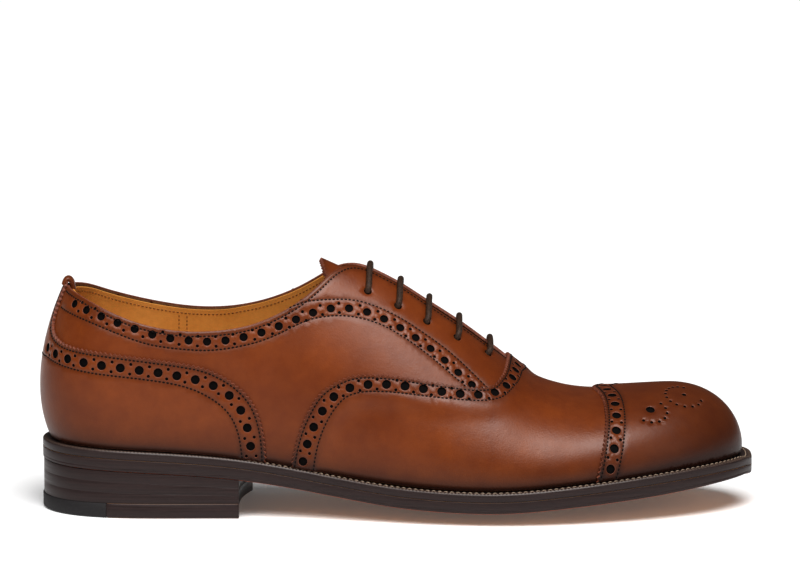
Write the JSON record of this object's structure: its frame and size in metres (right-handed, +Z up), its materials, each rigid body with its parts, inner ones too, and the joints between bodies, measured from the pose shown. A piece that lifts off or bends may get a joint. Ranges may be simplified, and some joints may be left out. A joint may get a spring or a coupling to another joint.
{
  "type": "leather oxford shoe",
  "caption": "Full brogue lace-up leather oxford for a right foot, with welted leather sole, stacked heel, closed lacing and punched toe cap, wings and counter",
  "frame": {"origin": "centre of the footprint of the whole shoe, on the ground", "axes": "+X to the toe, +Y to the medial side, +Z up"},
  "size_m": [0.3046, 0.1054, 0.1052],
  "materials": {
    "upper_leather": "burnished smooth calf",
    "lining_leather": "natural calf lining",
    "sole_leather": "dark stained and waxed edge",
    "heel_leather": "dark stained and waxed stack",
    "insole_leather": "natural vegetable tanned",
    "rubber": "matt heel rubber",
    "cork": "bonded cork",
    "steel": "spring steel",
    "brass": "brass pins",
    "stiffener": "raw leather board",
    "lace_cotton": "waxed round cotton",
    "aglet": "lacquered tip"
  },
  "bodies": {
    "rear": {"heel_rubber_quarter": "rubber", "heel_top_piece": "heel_leather", "heel_lift_1": "heel_leather", "heel_lift_2": "heel_leather", "heel_lift_3": "heel_leather", "heel_nails": "brass", "heel_rand": "sole_leather", "outsole_rear": "sole_leather", "welt_lateral": "sole_leather", "welt_medial": "sole_leather", "insole_rear": "insole_leather", "cork_rear": "cork", "shank": "steel", "heel_sock": "lining_leather", "quarter_lateral": "upper_leather", "quarter_medial": "upper_leather", "quarter_lining_lateral": "lining_leather", "quarter_lining_medial": "lining_leather", "heel_stiffener": "stiffener", "heel_counter": "upper_leather", "vamp": "upper_leather", "vamp_lining": "lining_leather", "lace": "lace_cotton", "lace_aglets": "aglet"},
    "forepart": {"outsole_forepart": "sole_leather", "welt_forepart": "sole_leather", "insole_forepart": "insole_leather", "cork_forepart": "cork", "toe_cap": "upper_leather", "toe_puff": "stiffener"},
    "tongue_body": {"tongue": "upper_leather"}
  },
  "joints": [
    {"name": "ball_flex", "type": "hinge", "parent": "rear", "child": "forepart", "pos_m": [0.0544, 0.00135, 0.0168], "axis": [0, -1, 0], "range_deg": [0, 25], "stiffness_Nm_per_rad": 12, "deforming": ["vamp", "vamp_lining"]},
    {"name": "tongue_push", "type": "hinge", "parent": "rear", "child": "tongue_body", "pos_m": [0.0484, 0.00455, 0.0565], "axis": [0, -1, 0], "range_deg": [0, 9], "stiffness_Nm_per_rad": 0.1, "springref_deg": -5.73}
  ]
}
